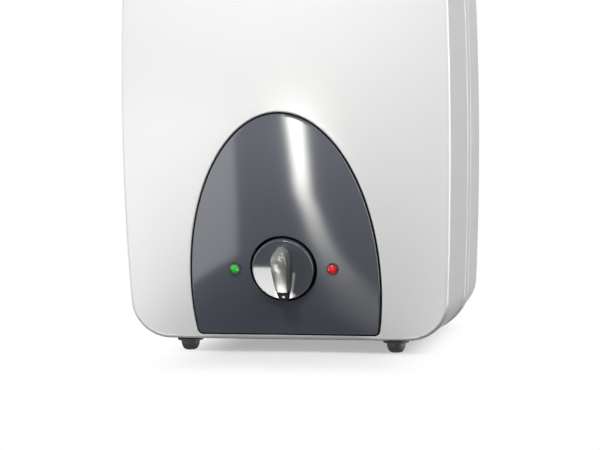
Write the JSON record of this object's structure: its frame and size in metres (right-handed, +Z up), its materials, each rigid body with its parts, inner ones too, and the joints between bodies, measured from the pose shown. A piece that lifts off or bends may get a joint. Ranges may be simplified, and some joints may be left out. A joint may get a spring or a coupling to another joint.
{
  "type": "electric water heater",
  "caption": "Free-standing electric mini-tank water heater with a domed white casing, an arch-shaped control panel with a turning thermostat knob, and a relief valve with a test lever on top.",
  "frame": {"origin": "on the floor under the middle of the overall box", "axes": "+X to the right seen from the front, +Y towards the back, +Z up; the front with the knob faces -Y"},
  "size_m": [0.2616, 0.2604, 0.4342],
  "materials": {
    "white_shell": "satin gloss moulded plastic",
    "grey_band": "matt moulded strip",
    "slate_panel": "gloss moulded plastic",
    "slate_knob": "gloss moulded plastic",
    "black_plastic": "satin moulded plastic",
    "black_rubber": "matt rubber",
    "green_lens": "clear tinted lens",
    "red_lens": "clear tinted lens",
    "zinc_steel": "zinc plated",
    "bright_tube": "bright stainless",
    "copper": "drawn copper",
    "brass_fitting": "machined brass",
    "enamelled_tank": "enamelled steel",
    "magnesium": "cast magnesium",
    "white_foam": "moulded expanded foam",
    "cream_plastic": "moulded plastic",
    "grey_nylon": "moulded nylon",
    "blue_plastic": "moulded plastic",
    "red_plastic": "moulded plastic",
    "wire_insulation": "plain insulation"
  },
  "bodies": {
    "casing": {"anode_rod": "magnesium", "bracket_screws": "zinc_steel", "cable_gland": "grey_nylon", "capillary_tube": "copper", "cold_collar": "blue_plastic", "cold_inlet_pipe": "bright_tube", "control_panel": "slate_panel", "earth_stud": "brass_fitting", "element_flange": "zinc_steel", "feet": "black_rubber", "flange_bolts": "zinc_steel", "flange_gasket": "black_rubber", "foam_front": "white_foam", "foam_rear": "white_foam", "foot_screws": "zinc_steel", "front_shell": "white_shell", "gland_cap": "grey_nylon", "gland_liner": "black_rubber", "gland_nut": "grey_nylon", "green_lens": "green_lens", "heating_element": "bright_tube", "hot_collar": "red_plastic", "hot_outlet_pipe": "bright_tube", "lamp_bezels": "black_plastic", "lamp_holders": "cream_plastic", "limit_cutout": "black_plastic", "panel_gasket": "black_rubber", "plate_screws": "zinc_steel", "rear_shell": "white_shell", "red_lens": "red_lens", "relief_valve_body": "brass_fitting", "relief_valve_bonnet": "brass_fitting", "relief_valve_spring": "bright_tube", "seam_band": "grey_band", "sensing_bulb": "copper", "support_plate": "zinc_steel", "tank": "enamelled_tank", "terminal_block": "cream_plastic", "thermostat_body": "black_plastic", "thermostat_bracket": "zinc_steel", "thermostat_screws": "zinc_steel", "thermowell": "brass_fitting", "wall_bracket": "zinc_steel", "wiring": "wire_insulation"},
    "knob": {"knob_dial": "slate_knob", "knob_pointer": "black_plastic", "thermostat_spindle": "zinc_steel"},
    "relief_stem": {"relief_valve_stem": "bright_tube", "lever_pin": "bright_tube"},
    "relief_lever": {"relief_valve_lever": "zinc_steel"},
    "reset_button": {"reset_button": "red_plastic"}
  },
  "joints": [
    {"name": "knob_turn", "type": "hinge", "parent": "casing", "child": "knob", "pos_m": [0, -0.10827, 0.06595], "axis": [0, 0.9721, 0.2344], "range_deg": [0, 270]},
    {"name": "relief_stem_lift", "type": "slide", "parent": "casing", "child": "relief_stem", "axis": [0, 0, 1], "range_m": [0, 0.003], "stiffness_N_per_m": 400, "springref_m": -0.003, "deforming": ["relief_valve_spring"]},
    {"name": "relief_lever_turn", "type": "hinge", "parent": "relief_stem", "child": "relief_lever", "pos_m": [0, 0.03466, 0.42525], "axis": [-1, 0, 0], "range_deg": [0, 90]},
    {"name": "reset_button_press", "type": "slide", "parent": "casing", "child": "reset_button", "axis": [0, 0, 1], "range_m": [0, 0.002], "stiffness_N_per_m": 200, "springref_m": -0.002}
  ],
  "couplings": [
    {"joint": "relief_lever_turn", "follows": "relief_stem_lift", "rad_per_m": 523.5}
  ]
}
